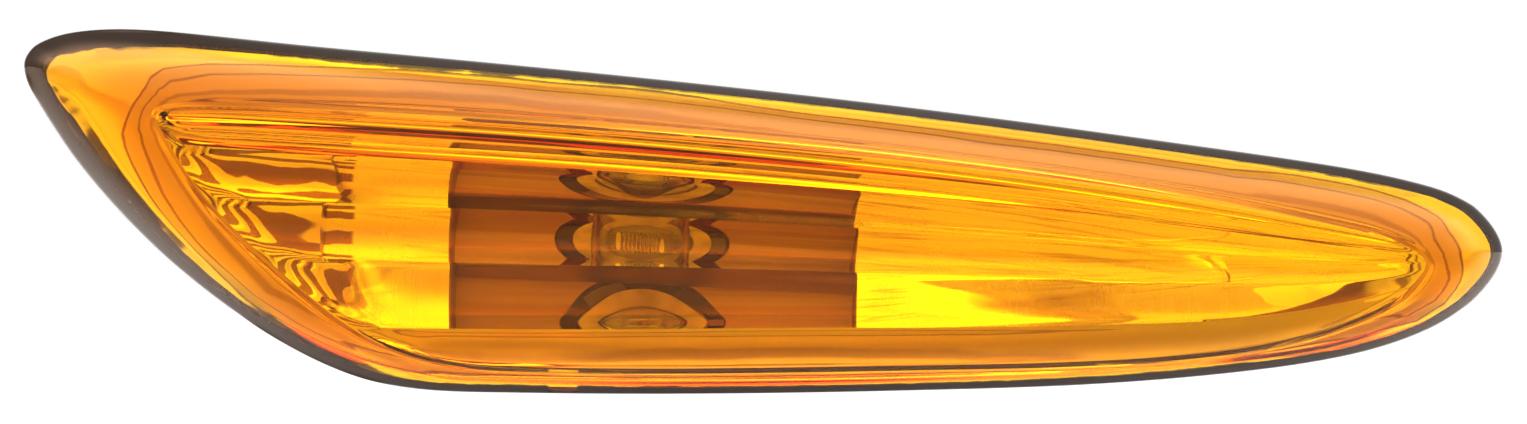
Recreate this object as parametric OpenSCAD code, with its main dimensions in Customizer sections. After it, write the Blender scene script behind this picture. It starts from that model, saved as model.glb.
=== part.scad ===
// Side repeater lamp for a car wing: amber lens on a black housing, metallised reflector,
// wedge bulb in a quarter-turn holder, foam seal and spring clip.
// X runs from the round nose to the pointed tail, Z is up, Y runs back through the body panel.
// The origin is on the panel's outer face, on the axis of the bulb.

/* [Outline] */
// Overall length of the lens, nose to tail
lamp_len = 150; // [140:1:162]
// Overall height of the lens
lamp_h = 37; // [35:0.5:41]
// Distance from the nose to the axis of the bulb
nose_to_bulb = 62.5; // [60:0.5:65]
// Distance of the bulb's axis below the middle of the lens
bulb_drop = 0.5; // [0:0.1:1.2]

/* [Lens] */
// Height of the lens edge above the foot
edge_t = 1.1; // [0.9:0.1:1.4]
// Height gained by the rolled edge
roll_h = 3.6; // [2.5:0.1:4.5]
// Width over which the edge rolls over
roll_w = 5.5; // [4.5:0.25:7]
// Crown of the face beyond the rolled edge
crown_h = 3.2; // [2.6:0.1:4.5]
// Wall of the lens
skin_t = 2; // [1.8:0.1:2.4]
// Width of the foot that is welded to the housing, along the upper edge
foot_w = 1.35; // [1.2:0.05:1.6]
// Width of the foot round the nose
foot_nose_w = 2.8; // [2:0.1:2.9]
// Width of the foot at the tail
foot_tail_w = 1.7; // [1.4:0.1:2]
// Width of the foot along the lower edge
foot_low_w = 1; // [0.9:0.05:1.1]
// Height of the weld rib that the foot fits over
rib_h = 1.3; // [1.2:0.05:1.5]
// Distance from the lens edge to the weld rib
rib_in = 0.4; // [0.35:0.05:0.6]
// Number of flutes on the inner face
flute_count = 6; // [5:1:8]
// Depth of a flute as a share of its pitch
flute_rise = 0.17; // [0.08:0.01:0.22]
// Extra thickness of the frame round the fluted window
frame_h = 1.7; // [1:0.1:1.9]
// Height of the bead at the window's edge, on the frame
bead_h = 0.3; // [0.1:0.05:0.4]
// Height of the weld line between foot and flange
weld_t = 0.1; // [0.05:0.05:0.2]

/* [Reflector] */
// Wall of the reflector
mirror_t = 0.9; // [0.8:0.05:0.95]
// Distance from the weld rib to the reflector's rim
rim_gap = 0.35; // [0.3:0.05:0.4]
// Height of the shoulder above the rim's seat
shoulder_h = 0.4; // [0.2:0.1:0.6]
// Depth of the reflector's floor behind its seat
floor_drop = 3.2; // [2.8:0.1:4]
// Depth of the trough below the floor
trough_d = 1.8; // [1:0.2:3]
// Reach of the trough towards the nose, from the bulb's axis
trough_nose = 32.5; // [29:0.5:34]
// Reach of the trough towards the tail
trough_tail = 60; // [52:1:62]
// Reach of the bulb chamber towards the nose
chamber_nose = 19.5; // [17:0.5:21]
// Reach of the bulb chamber towards the tail
chamber_tail = 22; // [18:0.5:24]
// Distance from the ledge down to the trough's upper edge, at the bulb's axis
trough_under = 2; // [1.7:0.1:2.6]
// Distance from the ledge up to the trough's lower edge, at the bulb's axis
trough_over = 1; // [0.8:0.1:1.4]
// Fall of the trough's upper edge for each millimetre of length
trough_fall = 0.1; // [0.06:0.01:0.12]
// Rise of the trough's lower edge for each millimetre towards the tail
trough_rise = 0.03; // [0.02:0.005:0.05]
// Depth of the bulb chamber behind the panel's face
chamber_d = 10.6; // [10:0.2:11]
// Radius of the opening round the bulb
eye_r = 9; // [8.8:0.1:9.4]
// Width of the ledge between window and hollow
ledge_w = 0.5; // [0.4:0.1:0.9]

/* [Housing] */
// Thickness of the housing flange
flange_t = 1.6; // [1.4:0.1:2.4]
// Wall of the housing
wall_t = 1.5; // [1.2:0.1:1.8]
// Distance from the lens edge to the outer face of the well
seat_w = 3.8; // [3.4:0.1:4.4]
// Depth of the well behind the panel's face
well_d = 9.2; // [8.8:0.2:11]
// Distance between housing and reflector
mirror_gap = 0.3; // [0.2:0.05:0.4]
// Rear wall that carries the bulb holder
wall_rear_t = 2; // [1.6:0.1:2.4]
// Width of the ribs round the well and at the chamber
rib_w = 1.4; // [1:0.1:1.8]
// Reach of the ribs at the chamber across the well's floor
rib_reach = 5; // [4:0.5:7]
// Number of centring ribs on each long side of the well
centre_n = 4; // [3:1:5]
// Reach of a centring rib beyond the well's wall
centre_reach = 0.5; // [0.3:0.1:0.6]
// Length of a centring rib behind the panel
centre_l = 2.4; // [1.6:0.2:4]
// Distance from the well's wall to the posts that back the reflector
post_in = 13; // [12:0.5:13.5]
// Radius of a post
post_r = 1.6; // [1.3:0.1:2]
// Room between chamber and rear wall for the lugs
lug_room = 2.9; // [2.7:0.1:3.6]
// Thickness of the foam seal once fitted
seal_t = 1; // [0.8:0.1:1.6]
// Distance from the lens edge to the outer edge of the foam seal
seal_inset = 0.7; // [0.5:0.1:0.9]
// Width of the foam seal
seal_w = 2; // [1.8:0.1:2.1]

/* [Fixing] */
// Panel that the lamp is fitted in
panel_t = 0.9; // [0.7:0.1:1.2]
// Width of the rigid hook
hook_w = 4.4; // [3.6:0.2:4.8]
// Reach of the hook behind the panel
hook_reach = 1.6; // [1.2:0.1:1.7]
// Thickness of the hook
hook_t = 1.8; // [1.4:0.1:2.4]
// Width of the spring clip
clip_w = 8; // [6:0.5:9]
// Thickness of the clip's steel
clip_t = 0.6; // [0.4:0.1:0.8]
// Reach of the clip's elbow beyond its flat
clip_reach = 1.1; // [0.8:0.1:1.2]
// Distance of the clip's elbow behind the panel
clip_elbow = 2.2; // [1.8:0.1:2.6]
// Length of the clip's tongue across the back of the well
clip_tongue = 7; // [6:0.5:8]
// Radius of the peg that holds the clip
peg_r = 1.3; // [1:0.1:1.5]
// Distance from the end of the tongue to the peg
peg_in = 2.4; // [2.2:0.1:2.8]
// Play between clip and housing
clip_gap = 0.1; // [0.05:0.05:0.2]

/* [Bulb holder] */
// Radius of the bore in the rear wall
bore_r = 7.4; // [7.2:0.1:7.7]
// Running clearance of the holder in its bore
holder_gap = 0.3; // [0.25:0.05:0.4]
// Reach of a lug beyond the holder's neck
lug_reach = 1.5; // [1.2:0.1:1.6]
// Play of the lugs, all round
lug_gap = 0.4; // [0.3:0.05:0.5]
// Width of a lug
lug_w = 4.4; // [3.6:0.2:5]
// Thickness of a lug
lug_t = 1.5; // [1.2:0.1:1.8]
// Turn from locked to free, in degrees
lug_turn = 45; // [40:1:50]
// Radius of the holder's collar
collar_r = 11; // [10.8:0.1:11.4]
// Thickness of the holder's collar
collar_t = 2; // [1.6:0.2:2.6]
// Section diameter of the sealing ring
ring_d = 1.2; // [1:0.1:1.4]
// Radius of the holder's body behind the collar
grip_r = 7.4; // [7:0.2:8]
// Length of the holder's body behind the collar
grip_l = 9; // [8:0.5:11]
// Reach of the finger wings beyond the body
wing_reach = 3.4; // [2.5:0.1:4]
// Thickness of the finger wings
wing_t = 2.4; // [2:0.2:3]
// Reach of the ribs on the finger wings
grip_rib = 0.4; // [0.2:0.1:0.6]
// Distance between the ribs on a finger wing
grip_pitch = 1.1; // [1:0.1:1.3]
// Width of the plug socket
plug_w = 13; // [12.5:0.5:14]
// Height of the plug socket
plug_h = 8; // [7.5:0.5:9]
// Length of the plug socket
plug_l = 9; // [8:0.5:11]
// Wall of the plug socket
plug_wall = 1.1; // [1:0.1:1.3]
// Width of the catch for the plug
catch_w = 3.2; // [2.4:0.2:4]
// Length of the catch
catch_l = 2.4; // [2:0.2:3]
// Height of the catch
catch_h = 1.2; // [0.8:0.1:1.5]
// Width of a terminal's blade
blade_w = 2.8; // [2.4:0.1:3]
// Thickness of a terminal's blade
blade_t = 0.8; // [0.6:0.1:0.9]
// Distance from the middle to the inner edge of a blade
blade_in = 1.5; // [1.5:0.1:1.8]
// Thickness of a contact leaf
leaf_t = 0.4; // [0.3:0.05:0.45]
// Distance from the bulb's shoulder to a contact leaf
leaf_in = 1.2; // [1:0.1:1.6]
// Reach of a contact leaf behind the bulb
leaf_back = 2; // [1.6:0.1:2.4]
// Distance from the socket's mouth to the blades
blade_back = 1.5; // [1:0.1:2]
// Width of a contact leaf
leaf_w = 3; // [2.6:0.1:3.4]
// Depth of the bulb's shoulder in the holder's front
bulb_sink = 1.4; // [1.2:0.1:2]
// Play of the bulb and the terminals in the holder
bulb_gap = 0.1; // [0.05:0.05:0.2]

/* [Bulb] */
// Radius of the glass
glass_r = 5; // [4.9:0.05:5.1]
// Wall of the glass
glass_t = 0.6; // [0.5:0.1:0.7]
// Length of the glass in front of the wedge, tip included
glass_l = 17; // [16:0.5:18]
// Thickness of the solid glass in front of the wedge
pinch_t = 2; // [1.6:0.1:2.4]
// Thickness of the wedge
wedge_t = 2.4; // [2.2:0.1:2.6]
// Width of the wedge
wedge_w = 9; // [8.6:0.2:9.2]
// Length of the wedge
wedge_l = 6.6; // [6:0.2:7]
// Diameter of the lead wires
lead_d = 0.5; // [0.4:0.05:0.6]
// Distance between the lead wires at the filament
lead_span = 4.4; // [4:0.2:5]
// Radius of the filament's coil
coil_r = 0.45; // [0.4:0.05:0.6]
// Turns of the filament's coil
coil_turns = 9; // [7:1:10]
// Diameter of the filament's wire
wire_d = 0.18; // [0.14:0.02:0.22]
// Distance from the bulb's shoulder to the filament
light_l = 12.7; // [12:0.1:13]

/* [Hidden] */
// Facets round a full circle
$fn = 64;
eps = 0.01;

// Outer edge of the lens as shares of length and height, clockwise from the top of the nose
edge_knots = [
  [0.010, 0.960], [0.055, 1.000], [0.187, 0.954], [0.390, 0.877], [0.593, 0.787], [0.783, 0.684],
  [0.930, 0.590], [0.979, 0.518], [1.000, 0.388], [0.978, 0.246], [0.919, 0.126], [0.783, 0.041],
  [0.593, 0.006], [0.350, 0.000], [0.246, 0.022], [0.183, 0.120], [0.112, 0.317], [0.061, 0.514],
  [0.023, 0.710], [0.000, 0.896]];
// Edge between the bright band and the slope, on the same stations
shoulder_knots = [
  [0.068, 0.826], [0.095, 0.880], [0.201, 0.883], [0.390, 0.811], [0.587, 0.718], [0.769, 0.617],
  [0.891, 0.557], [0.948, 0.481], [0.965, 0.372], [0.948, 0.284], [0.884, 0.175], [0.776, 0.093],
  [0.587, 0.060], [0.353, 0.055], [0.269, 0.071], [0.200, 0.134], [0.135, 0.361], [0.093, 0.538],
  [0.069, 0.680], [0.062, 0.770]];
// Edge of the fluted window, on the same stations
window_knots = [
  [0.0950, 0.768], [0.108, 0.781], [0.208, 0.770], [0.390, 0.721], [0.580, 0.648], [0.749, 0.557],
  [0.864, 0.473], [0.928, 0.411], [0.946, 0.358], [0.926, 0.270], [0.856, 0.164], [0.763, 0.112],
  [0.580, 0.090], [0.359, 0.085], [0.280, 0.109], [0.224, 0.191], [0.162, 0.385], [0.123, 0.546],
  [0.0995, 0.686], [0.0925, 0.745]];

// Stations where the four sides of an outline meet, in knots
corner_tail_top = 7;
corner_tail_low = 9;
corner_low = 14;
corner_mirror = 16;

// Segments along the top or bottom and across the ends of the lens
lens_nu = 18;
flute_seg = 4;
lens_nv = flute_count * flute_seg;
// Segments of the plain outlines
plain_nu = 22;
plain_nv = 12;

// Depths along Y
flange_back = -seal_t;
flange_front = flange_back - flange_t;
foot_y = flange_front - weld_t;
edge_y = foot_y - edge_t;
rear_in = chamber_d + mirror_t + lug_room;
rear_out = rear_in + wall_rear_t;
ring_room = ring_d + 0.1;
collar_front = rear_out + ring_room;
collar_back = collar_front + collar_t;
grip_back = collar_back + grip_l;
plug_back = grip_back + plug_l;

// Point on the spline through four knots
function spline(a, b, c, d, u) =
  let(
    t1 = sqrt(norm(b - a)),
    t2 = t1 + sqrt(norm(c - b)),
    t3 = t2 + sqrt(norm(d - c)),
    t = t1 + (t2 - t1) * u,
    p = a * (t1 - t) / t1 + b * t / t1,
    q = b * (t2 - t) / (t2 - t1) + c * (t - t1) / (t2 - t1),
    r = c * (t3 - t) / (t3 - t2) + d * (t - t2) / (t3 - t2),
    pq = p * (t2 - t) / t2 + q * t / t2,
    qr = q * (t3 - t) / (t3 - t1) + r * (t - t1) / (t3 - t1)
  )
  pq * (t2 - t) / (t2 - t1) + qr * (t - t1) / (t2 - t1);

// Middle of the lens edge at the bulb's axis, and the axis above the lowest edge
bulb_share = nose_to_bulb / lamp_len;
edge_top = lookup(bulb_share, [for (i = [1 : 6]) edge_knots[i]]);
edge_low = lookup(bulb_share, [for (i = [10 : 13]) edge_knots[i]]);
bulb_above_edge = lamp_h * (edge_top + edge_low) / 2 - bulb_drop;

// Knots in millimetres, from the axis of the bulb
function placed(knots) =
  [for (k = knots) [k[0] * lamp_len - nose_to_bulb, k[1] * lamp_h - bulb_above_edge]];

// Point of a closed outline at station t, counted in knots
function on_loop(k, t) =
  let(n = len(k), i = floor(t))
  spline(k[(i + n - 1) % n], k[i % n], k[(i + 1) % n], k[(i + 2) % n], t - i);

// Stations of an outline: nu along top and bottom, nv across tail and nose
function stations(n, nu, nv, low) = concat(
  [for (i = [0 : nu - 1]) corner_tail_top * i / nu],
  [for (i = [0 : nv - 1]) corner_tail_top + (corner_tail_low - corner_tail_top) * i / nv],
  [for (i = [0 : nu - 1]) corner_tail_low + (low - corner_tail_low) * i / nu],
  [for (i = [0 : nv - 1]) low + (n - low) * i / nv]);

function outline(knots, nu, nv, low = corner_low) =
  let(k = placed(knots))
  [for (t = stations(len(k), nu, nv, low)) on_loop(k, t)];

// Outline moved inwards by d, or outwards where d is negative
function inset(p, d) =
  let(n = len(p))
  [for (i = [0 : n - 1])
    let(
      e1 = p[i] - p[(i + n - 1) % n],
      e2 = p[(i + 1) % n] - p[i],
      n1 = [e1[1], -e1[0]] / norm(e1),
      n2 = [e2[1], -e2[0]] / norm(e2),
      m = (n1 + n2) / max(norm(n1 + n2), eps),
      turn = max(m * n1, 0.85)
    )
    p[i] + m * d / turn];

// Steps from the stations of p to those of the line q inside it, each 1 mm square to the edge
function steps_in(p, q) =
  let(n = len(p), near = inset(p, 1))
  [for (i = [0 : n - 1])
    let(inward = (near[i] - p[i]) / norm(near[i] - p[i]))
    (q[i] - p[i]) / ((q[i] - p[i]) * inward)];

// Inner edge of the foot, moved inwards by d: wide round the nose, narrow along the lower edge
function foot_edge(p, q, d) =
  let(step = steps_in(p, q))
  [for (i = [0 : len(p) - 1])
    let(
      nose = pow(max(0, -p[i][0]) / nose_to_bulb, 3),
      tail = pow(max(0, p[i][0]) / (lamp_len - nose_to_bulb), 8),
      low = pow(max(0, step[i][1]) / norm(step[i]), 2) * (1 - nose) * (1 - tail)
    )
    p[i] + step[i] * (d + foot_w + (foot_nose_w - foot_w) * nose + (foot_tail_w - foot_w) * tail
      + (foot_low_w - foot_w) * low)];

function mix(a, b, s) = [for (i = [0 : len(a) - 1]) a[i] * (1 - s) + b[i] * s];

edge_line = outline(edge_knots, lens_nu, lens_nv);
window_line = outline(window_knots, lens_nu, lens_nv);
edge_plain = outline(edge_knots, plain_nu, plain_nv);
shoulder_plain = outline(shoulder_knots, plain_nu, plain_nv);
window_plain = outline(window_knots, plain_nu, plain_nv);

// Distance of a point from the lens edge
function from_edge(q) =
  let(n = len(edge_plain))
  min([for (i = [0 : n - 1])
    let(
      a = edge_plain[i],
      b = edge_plain[(i + 1) % n],
      ab = b - a,
      s = max(0, min(1, (q - a) * ab / (ab * ab)))
    )
    norm(q - a - ab * s)]);

// Height of the lens face above the foot: a rolled edge that runs into a crowned face
face_mid = lamp_len / 2 - nose_to_bulb;
function face_h(q) =
  let(
    t = min(from_edge(q) / roll_w, 1),
    roll = 1 - pow(1 - t, 2),
    across = (q[1] + (q[0] - face_mid) * trough_fall / 2) / lamp_h,
    along = (q[0] - face_mid) / lamp_len
  )
  edge_t + roll * (roll_h + crown_h * (1 - 2 * pow(across, 2) - 2.4 * pow(along, 2)));

function face_pt(q) = [q[0], foot_y - face_h(q), q[1]];
// The wall ends a gap in front of the reflector's shoulder
shoulder_y = foot_y - mirror_t - shoulder_h;
function back_pt(q, add) =
  [q[0], min(foot_y - face_h(q) + skin_t + add, shoulder_y - mirror_gap), q[1]];
function at_y(line, y) = [for (q = line) [q[0], y, q[1]]];

// Point of the patch that spans an outline's four sides, at shares u and v
function patch(line, nu, nv, i, j) =
  let(
    n = len(line),
    u = i / nu,
    v = j / nv,
    top = line[i],
    low = line[2 * nu + nv - i],
    nose = line[(2 * nu + nv + j) % n],
    tail = line[nu + nv - j],
    c00 = line[2 * nu + nv],
    c01 = line[0],
    c10 = line[nu + nv],
    c11 = line[nu]
  )
  low * (1 - v) + top * v + nose * (1 - u) + tail * u
  - (c00 * (1 - u) * (1 - v) + c10 * u * (1 - v) + c01 * (1 - u) * v + c11 * u * v);

// Height of the flutes at station i and row j, round crests between sharp valleys
function flute(i, j) =
  let(
    f = (j % flute_seg) / flute_seg,
    across = patch(window_line, lens_nu, lens_nv, i, lens_nv) - patch(window_line, lens_nu, lens_nv, i, 0)
  )
  flute_rise * norm(across) / flute_count * 4 * f * (1 - f);

// Index of a patch node: the rim belongs to the last ring, the rest to the inner nodes
function node_at(i, j, nu, nv, ring, inner) =
  j == nv ? ring + i :
  i == nu ? ring + nu + nv - j :
  j == 0 ? ring + 2 * nu + nv - i :
  i == 0 ? ring + 2 * nu + nv + j :
  inner + (i - 1) * (nv - 1) + j - 1;

function quad(a, b, c, d) = [[a, b, c], [a, c, d]];
function flat(l) = [for (a = l) for (b = a) b];

// Faces of one side: bands between rings, then the patch inside the last ring
function side_faces(start, rings, nu, nv) =
  let(
    n = 2 * (nu + nv),
    last = start + (rings - 1) * n,
    inner = last + n
  )
  concat(
    flat([for (k = [0 : rings - 2]) for (i = [0 : n - 1])
      quad(start + k * n + i, start + k * n + (i + 1) % n,
        start + (k + 1) * n + (i + 1) % n, start + (k + 1) * n + i)]),
    flat([for (i = [0 : nu - 1]) for (j = [0 : nv - 1])
      quad(node_at(i, j + 1, nu, nv, last, inner), node_at(i + 1, j + 1, nu, nv, last, inner),
        node_at(i + 1, j, nu, nv, last, inner), node_at(i, j, nu, nv, last, inner))]));

function reversed(faces) = [for (f = faces) [f[2], f[1], f[0]]];

// Solid between a front and a back, each a list of rings and a list of inner nodes
module skin_solid(front, front_in, back, back_in, nu, nv) {
  n = 2 * (nu + nv);
  second = len(front) * n + len(front_in);
  polyhedron(
    points = concat(flat(front), front_in, flat(back), back_in),
    faces = concat(
      side_faces(0, len(front), nu, nv),
      reversed(side_faces(second, len(back), nu, nv)),
      flat([for (i = [0 : n - 1])
        quad(i, second + i, second + (i + 1) % n, (i + 1) % n)])));
}

// Block with the outline p between two depths
module slab(p, y0, y1) {
  translate([0, y1, 0]) rotate([90, 0, 0]) linear_extrude(y1 - y0) polygon(p);
}

// Round bar along Y between two depths
module bar(r, y0, y1) {
  translate([0, y1, 0]) rotate([90, 0, 0]) cylinder(r = r, h = y1 - y0);
}

// Box between two corners
module block(a, b) {
  translate(a) cube(b - a);
}

module lens() {
  foot_line = foot_edge(edge_line, window_line, 0);
  groove = inset(edge_line, rib_in);
  rib_y = foot_y - rib_h;
  front = [for (s = [0, 0.05, 0.15, 0.32, 0.6, 1])
    [for (q = mix(edge_line, window_line, s)) face_pt(q)]];
  front_in = [for (i = [1 : lens_nu - 1]) for (j = [1 : lens_nv - 1])
    face_pt(patch(window_line, lens_nu, lens_nv, i, j))];
  // Share of the way from the foot to the window, and thickness added to the wall there
  wall = [[0.25, 0.35 * frame_h], [0.42, 0.6 * frame_h], [0.62, frame_h], [0.86, frame_h], [0.94, frame_h + bead_h]];
  back = concat(
    [at_y(edge_line, foot_y), at_y(groove, foot_y), at_y(groove, rib_y), at_y(foot_line, rib_y)],
    [for (w = wall) [for (q = mix(foot_line, window_line, w[0])) back_pt(q, w[1])]],
    [[for (q = window_line) back_pt(q, 0)]]);
  back_in = [for (i = [1 : lens_nu - 1]) for (j = [1 : lens_nv - 1])
    let(q = patch(window_line, lens_nu, lens_nv, i, j)) back_pt(q, flute(i, j))];
  color([1, 0.66, 0.05, 0.75])
    skin_solid(front, front_in, back, back_in, lens_nu, lens_nv);
}

// Inner edge of the reflector's ledge: the window's edge moved towards the middle of the window
// until it is clear of the seat and the well's wall
function clear_pt(q, mid, d, lo, hi, n) =
  let(s = (lo + hi) / 2)
  n == 0 ? q * (1 - hi) + mid * hi :
  from_edge(q * (1 - s) + mid * s) < d ? clear_pt(q, mid, d, s, hi, n - 1) : clear_pt(q, mid, d, lo, s, n - 1);

function lip(nu, nv, low = corner_low) =
  let(line = outline(window_knots, nu, nv, low), well = seat_w + wall_t + mirror_gap + mirror_t)
  [for (q = line)
    let(
      low = -nose_to_bulb + 0.2 * lamp_len,
      mid = [max(low, min(q[0], 0.86 * lamp_len - nose_to_bulb)), lamp_h * 0.4 - bulb_above_edge]
    )
    clear_pt(q, [mid[0], mid[1] - (mid[0] - face_mid) * 0.06], max(well, from_edge(q) + ledge_w), 0, 0.7, 12)];

lip_plain = lip(plain_nu, plain_nv);
low_side = plain_nu + plain_nv;
trough_up = lookup(0, [for (i = [0 : plain_nu]) lip_plain[i]]) - trough_under;
trough_down = -lookup(0, [for (i = [0 : plain_nu]) lip_plain[low_side + i]]) - trough_over;
// Inner and outer face of the well
well_in_line = inset(lip_plain, -mirror_t - mirror_gap);
well_line = inset(lip_plain, -mirror_t - mirror_gap - wall_t);

// Upper and lower edge of the trough at x
function trough_top(x) = trough_up - trough_fall * x;
function trough_low(x) = -trough_down + trough_rise * max(0, x);

// Share of the trough's height that is left at x, rounded off at both ends
nose_round = trough_nose - chamber_nose - 2;
tail_round = trough_up + trough_down;
function open_share(x) =
  let(
    a = max(0, -x - trough_nose + nose_round) / nose_round,
    b = max(0, x - trough_tail + tail_round) / tail_round
  )
  sqrt(max(0, 1 - pow(max(a, b), 2)));

// Stations along the trough: the chamber's end walls stand between two near ones
draft = 0.4;
function trough_x(o) =
  let(
    a = -trough_nose - o,
    b = -chamber_nose - o,
    c = chamber_tail + o,
    d = trough_tail + o
  )
  concat(
    [for (i = [0 : 5]) a + (b - a) * (1 - cos(15 * i))],
    [b, b + draft],
    [for (i = [1 : 4]) b + draft + (c - b - 2 * draft) * i / 5],
    [c - draft, c],
    [for (i = [1 : 8]) c + (d - c) * sin(90 * i / 8)]);

// Share of the trough's height at row j, with near rows for the chamber's long walls
row_n = 12;
function row(j, height) =
  let(d = draft / height)
  j == 0 ? 0 : j == row_n ? 1 : d + (1 - 2 * d) * (1 - cos(180 * (j - 1) / (row_n - 2))) / 2;
trough_nu = 21;

// Middle of the trough at x, and height there for a wall offset o
function trough_mid(x) = (trough_top(x) + trough_low(x)) / 2;
function trough_high(x, o) = max(open_share(x), 0.12) * (trough_top(x) - trough_low(x)) + 2 * o;
function trough_z(x, o, j) =
  let(h = trough_high(x, o))
  trough_mid(x) + h * (row(j, h) - 0.5);

// Depth of the reflector's hollow at station i and row j
function hollow_y(i, j, seat) =
  let(v = 2 * row(j, trough_up + trough_down) - 1)
  i >= 7 && i <= 12 ? chamber_d :
  seat + floor_drop + (i == 0 || i == trough_nu ? 0 : trough_d * sqrt(max(0, 1 - pow(v, 6))));

// The shoulder lies further in than the lens shows it
seen_in = 0.4;

module reflector() {
  seat = foot_y - mirror_t;
  nv = row_n;
  nu = trough_nu;
  low = corner_mirror;
  window = outline(window_knots, nu, nv, low);
  rim = foot_edge(outline(edge_knots, nu, nv, low), window, rim_gap);
  shoulder = inset(outline(shoulder_knots, nu, nv, low), seen_in);
  ledge = lip(nu, nv, low);
  // Rings and inner nodes of the face at o = 0 and of the back at o = mirror_t
  function mouth(o) =
    let(x = trough_x(o))
    concat(
      [for (i = [0 : nu - 1]) [x[i], trough_z(x[i], o, nv)]],
      [for (j = [0 : nv - 1]) [x[nu], trough_z(x[nu], o, nv - j)]],
      [for (i = [0 : nu - 1]) [x[nu - i], trough_z(x[nu - i], o, 0)]],
      [for (j = [0 : nv - 1]) [x[0], trough_z(x[0], o, j)]]);
  function rings(o) = [
    at_y(rim, seat + o),
    at_y(shoulder, shoulder_y + o),
    at_y(window, seat + o - eps),
    at_y(inset(ledge, -o), seat + o),
    at_y(inset(ledge, draft - o), seat + floor_drop + o),
    at_y(mouth(o), seat + floor_drop + o)];
  function nodes(o) =
    let(x = trough_x(o))
    [for (i = [1 : nu - 1]) for (j = [1 : nv - 1])
      [x[i], hollow_y(i, j, seat) + o, trough_z(x[i], o, j)]];
  color([0.86, 0.86, 0.84]) difference() {
    skin_solid(rings(0), nodes(0), rings(mirror_t), nodes(mirror_t), nu, nv);
    bar(eye_r, chamber_d - draft / 2, chamber_d + mirror_t + 1);
  }
}

// Plan of the housing's chamber, clear of the reflector's chamber by d
function chamber_plan(d) =
  let(a = -chamber_nose - d, b = chamber_tail + d)
  [[a, trough_top(a) + d], [b, trough_top(b) + d], [b, trough_low(b) - d], [a, trough_low(a) - d]];

// Holder sizes that follow from its bore
neck_r = bore_r - holder_gap;
lug_r = neck_r + lug_reach;
notch_r = lug_r + lug_gap;
boss_r = collar_r + 0.6;
lug_back = rear_in - holder_gap / 2;
lug_room_front = chamber_d + mirror_t + mirror_gap;
neck_front = chamber_d;

// Point and direction of the spring clip, on the well's slanting nose wall
clip_i = plain_nu + low_side + plain_nv / 2;
clip_at = well_line[clip_i];
clip_way = well_line[clip_i + 1] - well_line[clip_i - 1];
clip_turn = atan2(-clip_way[0], -clip_way[1]);
clip_pad = 0.2;

// Places the clip's own frame: X points out of the well's wall, Z along it
module at_clip() {
  translate([clip_at[0], 0, clip_at[1]]) rotate([0, clip_turn, 0]) children();
}

// Three bayonet lugs, turned by a, between two depths
module lugs(r, w, a, y0, y1) {
  intersection() {
    bar(r, y0, y1);
    union() for (k = [0 : 2]) rotate([0, a + 120 * k, 0])
      block([neck_r / 2, y0 - 1, -w / 2], [r + 1, y1 + 1, w / 2]);
  }
}

// Rigid hook beyond the well's tail, with its nose chamfered for the panel
tail_tip = well_line[plain_nu + plain_nv / 2];
edge_tip = edge_plain[plain_nu + plain_nv / 2];
module hook() {
  y = panel_t + clip_gap;
  x = tail_tip[0];
  translate([0, 0, edge_tip[1] - hook_w / 2]) linear_extrude(hook_w)
    polygon([[x - 3 * wall_t, y], [x + hook_reach, y], [x + hook_reach, y + hook_t / 2],
      [x + hook_reach / 2, y + hook_t], [x - wall_t, well_d], [x - 3 * wall_t, well_d]]);
}

// Post in the well that backs the reflector's floor
mirror_back = foot_y + floor_drop;
nose_post = clip_at + [clip_way[1], -clip_way[0]] / norm(clip_way) * post_in;
tail_post = tail_tip - [post_in, 0];
module post(at) {
  translate([at[0], 0, at[1]]) bar(post_r, mirror_back + weld_t, well_d - wall_t / 2);
}

// Three-cornered rib between a chamber wall and the well's floor, turned by a to point outwards
module rib(x, z, a) {
  foot = well_d - wall_t / 2;
  translate([x, 0, z]) rotate([0, a, 0]) translate([0, 0, -rib_w / 2]) linear_extrude(rib_w)
    polygon([[0, foot], [rib_reach, foot], [0, rear_in]]);
}

// The chamber's ribs: two on each long wall and one on each end wall
module chamber_ribs() {
  d = mirror_t + mirror_gap + wall_t / 2;
  for (x = [-chamber_nose / 2 - boss_r / 2, chamber_tail / 2 + boss_r / 2]) {
    rib(x, trough_top(x) + d, -90);
    rib(x, trough_low(x) - d, 90);
  }
  rib(-chamber_nose - d, trough_mid(-chamber_nose), 180);
  rib(chamber_tail + d, trough_mid(chamber_tail), 0);
}

// Rib that centres the well in the panel, at station i of the well's wall
module centre_rib(i) {
  way = well_line[i + 1] - well_line[i - 1];
  tip = panel_t + centre_l;
  translate([well_line[i][0], 0, well_line[i][1]]) rotate([0, atan2(-way[0], -way[1]), 0])
    translate([0, 0, -rib_w / 2]) linear_extrude(rib_w)
      polygon([[-wall_t / 2, flange_back - eps], [centre_reach, flange_back - eps], [centre_reach, tip],
        [0, tip + 2 * centre_reach], [-wall_t / 2, tip + 2 * centre_reach]]);
}

// Rib on the flange, inside the groove of the lens foot
module weld_rib() {
  difference() {
    slab(inset(edge_plain, rib_in + weld_t), flange_front - rib_h, flange_front + eps);
    slab(foot_edge(edge_plain, window_plain, 0), flange_front - rib_h - 1, flange_front + 1);
  }
}

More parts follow.
